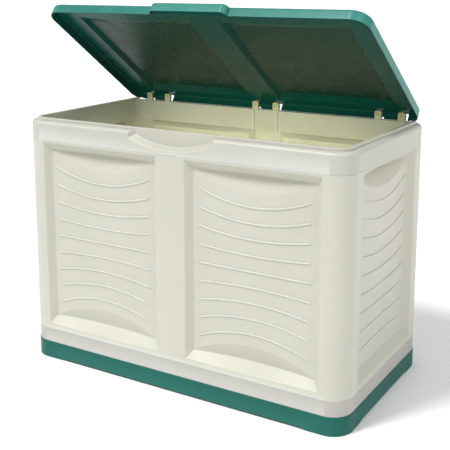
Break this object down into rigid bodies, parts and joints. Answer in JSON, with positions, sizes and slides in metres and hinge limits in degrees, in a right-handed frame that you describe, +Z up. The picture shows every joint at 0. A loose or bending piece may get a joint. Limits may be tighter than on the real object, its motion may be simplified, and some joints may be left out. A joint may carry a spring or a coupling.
{
  "type": "deck storage box",
  "caption": "Resin garden storage chest: ribbed moulded walls between two frames, a plinth base, a lift-up lid on rear hinge pins, a front finger pocket and side hand grips.",
  "frame": {"origin": "on the ground, under the middle of the box", "axes": "+Z up, the front with its finger pocket faces -Y, the hinge is at the back towards +Y, the right-hand hand grip faces +X"},
  "size_m": [1.004, 0.544, 1.0361],
  "materials": {
    "wall_resin": "fine-textured cream resin, satin",
    "top_frame_resin": "cream resin, satin",
    "lower_frame_resin": "cream resin, slightly greyer, satin",
    "base_resin": "dark green resin, satin",
    "lid_resin": "green resin, satin with a soft sheen",
    "pin_steel": "bright drawn steel",
    "screw_zinc": "zinc-plated steel"
  },
  "bodies": {
    "box": {"front_wall": "wall_resin", "back_wall": "wall_resin", "left_wall": "wall_resin", "right_wall": "wall_resin", "top_frame": "top_frame_resin", "lower_frame": "lower_frame_resin", "base_tray": "base_resin", "hinge_pin_left": "pin_steel", "hinge_pin_centre": "pin_steel", "hinge_pin_right": "pin_steel", "base_screw_front_left": "screw_zinc", "base_screw_front_right": "screw_zinc", "base_screw_back_left": "screw_zinc", "base_screw_back_right": "screw_zinc", "base_screw_left_front": "screw_zinc", "base_screw_left_back": "screw_zinc", "base_screw_right_front": "screw_zinc", "base_screw_right_back": "screw_zinc", "frame_screw_front_left": "screw_zinc", "frame_screw_front_right": "screw_zinc", "frame_screw_back_left": "screw_zinc", "frame_screw_back_right": "screw_zinc", "frame_screw_left_front": "screw_zinc", "frame_screw_left_back": "screw_zinc", "frame_screw_right_front": "screw_zinc", "frame_screw_right_back": "screw_zinc"},
    "lid": {"lid": "lid_resin"}
  },
  "joints": [
    {"name": "lid_hinge", "type": "hinge", "parent": "box", "child": "lid", "pos_m": [0, 0.251, 0.719], "axis": [-1, 0, 0], "range_deg": [-35, 62]}
  ]
}
